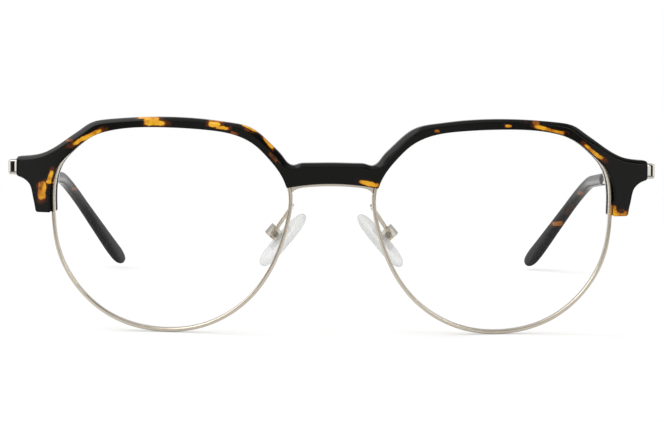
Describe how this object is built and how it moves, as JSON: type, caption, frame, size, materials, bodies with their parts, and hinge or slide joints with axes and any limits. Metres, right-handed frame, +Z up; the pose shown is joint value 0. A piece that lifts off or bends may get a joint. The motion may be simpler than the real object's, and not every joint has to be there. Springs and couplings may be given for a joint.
{
  "type": "browline glasses",
  "caption": "Browline glasses with a tortoiseshell acetate brow, metal rims, rocking nose pads and temples that fold inwards on screw hinges.",
  "frame": {"origin": "middle of the footprint, on the surface that the rims and the temple tips stand on", "axes": "+Z up, +X to the wearer's left, +Y from the front towards the temple tips"},
  "size_m": [0.144, 0.1478, 0.0466],
  "materials": {
    "tortoise_acetate": "polished tortoiseshell acetate",
    "tip_acetate": "polished dark acetate",
    "champagne_metal": "satin champagne plating",
    "polished_metal": "polished champagne plating",
    "screw_steel": "turned steel",
    "clear_lens": "clear optical plastic",
    "pad_silicone": "clear soft silicone",
    "pad_core": "clear hard plastic"
  },
  "bodies": {
    "front": {"brow": "tortoise_acetate", "bridge_bar": "champagne_metal", "eyewire_left": "champagne_metal", "eyewire_right": "champagne_metal", "lens_left": "clear_lens", "lens_right": "clear_lens", "rim_lock_upper_left": "champagne_metal", "rim_lock_upper_right": "champagne_metal", "rim_lock_lower_left": "champagne_metal", "rim_lock_lower_right": "champagne_metal", "rim_lock_screw_left": "screw_steel", "rim_lock_screw_right": "screw_steel", "end_piece_left": "polished_metal", "end_piece_right": "polished_metal", "brow_screw_left": "screw_steel", "brow_screw_right": "screw_steel", "hinge_fork_left": "champagne_metal", "hinge_fork_right": "champagne_metal", "hinge_screw_left": "screw_steel", "hinge_screw_right": "screw_steel", "pad_arm_left": "champagne_metal", "pad_arm_right": "champagne_metal", "pad_box_left": "champagne_metal", "pad_box_right": "champagne_metal", "pad_screw_left": "screw_steel", "pad_screw_right": "screw_steel"},
    "temple_left": {"temple_left": "polished_metal", "temple_tip_left": "tip_acetate", "hinge_tongue_left": "champagne_metal"},
    "pad_left": {"nose_pad_left": "pad_silicone", "pad_insert_left": "pad_core"},
    "temple_right": {"temple_right": "polished_metal", "temple_tip_right": "tip_acetate", "hinge_tongue_right": "champagne_metal"},
    "pad_right": {"nose_pad_right": "pad_silicone", "pad_insert_right": "pad_core"}
  },
  "joints": [
    {"name": "temple_fold_left", "type": "hinge", "parent": "front", "child": "temple_left", "pos_m": [0.06867, -0.05342, 0.0349], "axis": [0, 0, 1], "range_deg": [0, 89]},
    {"name": "temple_fold_right", "type": "hinge", "parent": "front", "child": "temple_right", "pos_m": [-0.06867, -0.05342, 0.0349], "axis": [0, 0, -1], "range_deg": [0, 83]},
    {"name": "pad_rock_left", "type": "hinge", "parent": "front", "child": "pad_left", "pos_m": [0.01241, -0.065, 0.02137], "axis": [0.1569, 0.9781, 0.1364], "range_deg": [-10, 10]},
    {"name": "pad_rock_right", "type": "hinge", "parent": "front", "child": "pad_right", "pos_m": [-0.01241, -0.065, 0.02137], "axis": [-0.1569, 0.9781, 0.1364], "range_deg": [-10, 10]}
  ]
}
